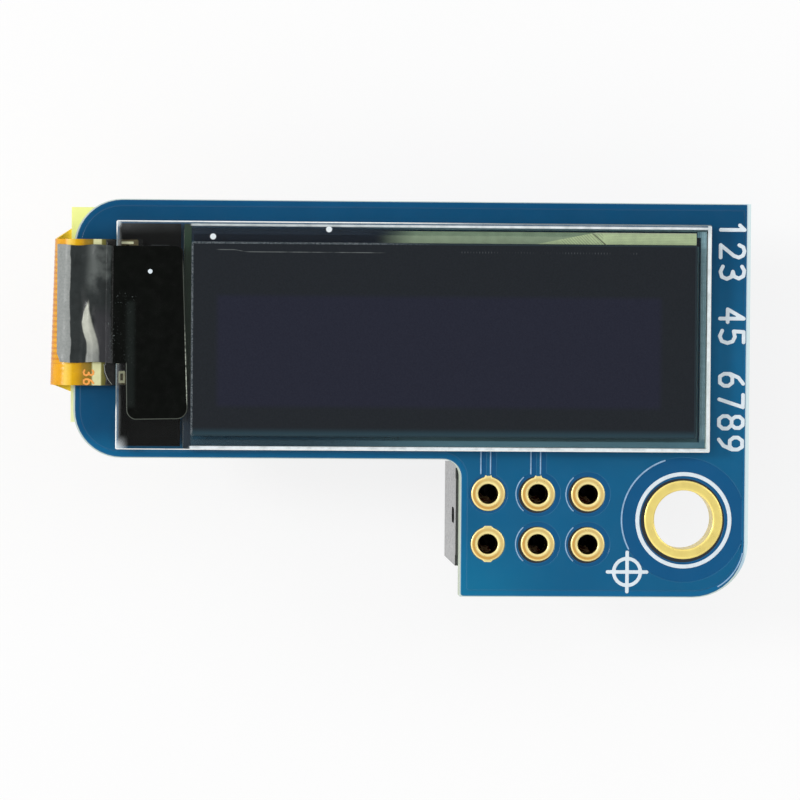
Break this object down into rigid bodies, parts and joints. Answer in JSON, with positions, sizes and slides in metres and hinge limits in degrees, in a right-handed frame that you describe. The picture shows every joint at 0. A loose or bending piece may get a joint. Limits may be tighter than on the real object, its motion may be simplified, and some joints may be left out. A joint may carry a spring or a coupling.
{
  "type": "small OLED display module",
  "caption": "L-shaped blue circuit board with a small dark display panel, folded flexible cable, socket header behind and one plated mounting hole.",
  "frame": {"origin": "on the mounting hole's axis, at the board's underside", "axes": "+Z along the mounting hole's axis, out of the display's face; +X along the board's long side, from the cable's fold towards the mounting hole; +Y from the header foot towards the display"},
  "size_m": [0.0354, 0.0199, 0.0115],
  "materials": {
    "solder_mask_blue": "semi-gloss blue solder mask on glass-fibre board",
    "gold_plate": "bright gold flash over copper",
    "header_black": "fine-grained moulded black",
    "contact_gold": "gold-flashed bronze strip",
    "clear_glass": "clear glass with cut edges",
    "polarizer_dark": "smooth dark film",
    "active_dark": "dark violet layer under the film",
    "electrode_metal": "fine-ruled pale metal film",
    "clear_seal": "clear cured glue",
    "white_adhesive": "matt adhesive sheet",
    "silicon": "polished silicon",
    "foam_black": "matt black foam",
    "tape_black": "thin satin black film tape",
    "flex_amber": "glossy translucent amber film over copper",
    "pad_yellow": "pale yellow adhesive pad",
    "ceramic_tan": "tan ceramic with tinned ends",
    "resistor_black": "black glazed face with tinned ends",
    "solder": "smooth bright solder"
  },
  "bodies": {
    "root": {"circuit_board": "solder_mask_blue", "mounting_hole_plating": "gold_plate", "pin_hole_plating_1": "gold_plate", "header_contact_1": "contact_gold", "pin_hole_plating_2": "gold_plate", "header_contact_2": "contact_gold", "pin_hole_plating_3": "gold_plate", "header_contact_3": "contact_gold", "pin_hole_plating_4": "gold_plate", "header_contact_4": "contact_gold", "pin_hole_plating_5": "gold_plate", "header_contact_5": "contact_gold", "pin_hole_plating_6": "gold_plate", "header_contact_6": "contact_gold", "header_housing": "header_black", "display_adhesive": "white_adhesive", "display_rear_glass": "clear_glass", "display_front_glass": "clear_glass", "edge_seal": "clear_seal", "emitter_layer": "active_dark", "electrode_film": "electrode_metal", "polarizer_film": "polarizer_dark", "driver_chip": "silicon", "ledge_foam": "foam_black", "cover_tape": "tape_black", "flex_cable": "flex_amber", "flex_adhesive_pad": "pad_yellow", "capacitor_1": "ceramic_tan", "capacitor_2": "ceramic_tan", "capacitor_3": "ceramic_tan", "capacitor_4": "ceramic_tan", "capacitor_5": "ceramic_tan", "capacitor_6": "ceramic_tan", "resistor_1": "resistor_black", "resistor_2": "resistor_black", "resistor_3": "resistor_black", "resistor_4": "resistor_black", "header_lands": "gold_plate", "flex_lands": "gold_plate", "chip_lands": "gold_plate", "header_solder": "solder", "flex_solder": "solder", "chip_solder": "solder"}
  },
  "joints": []
}
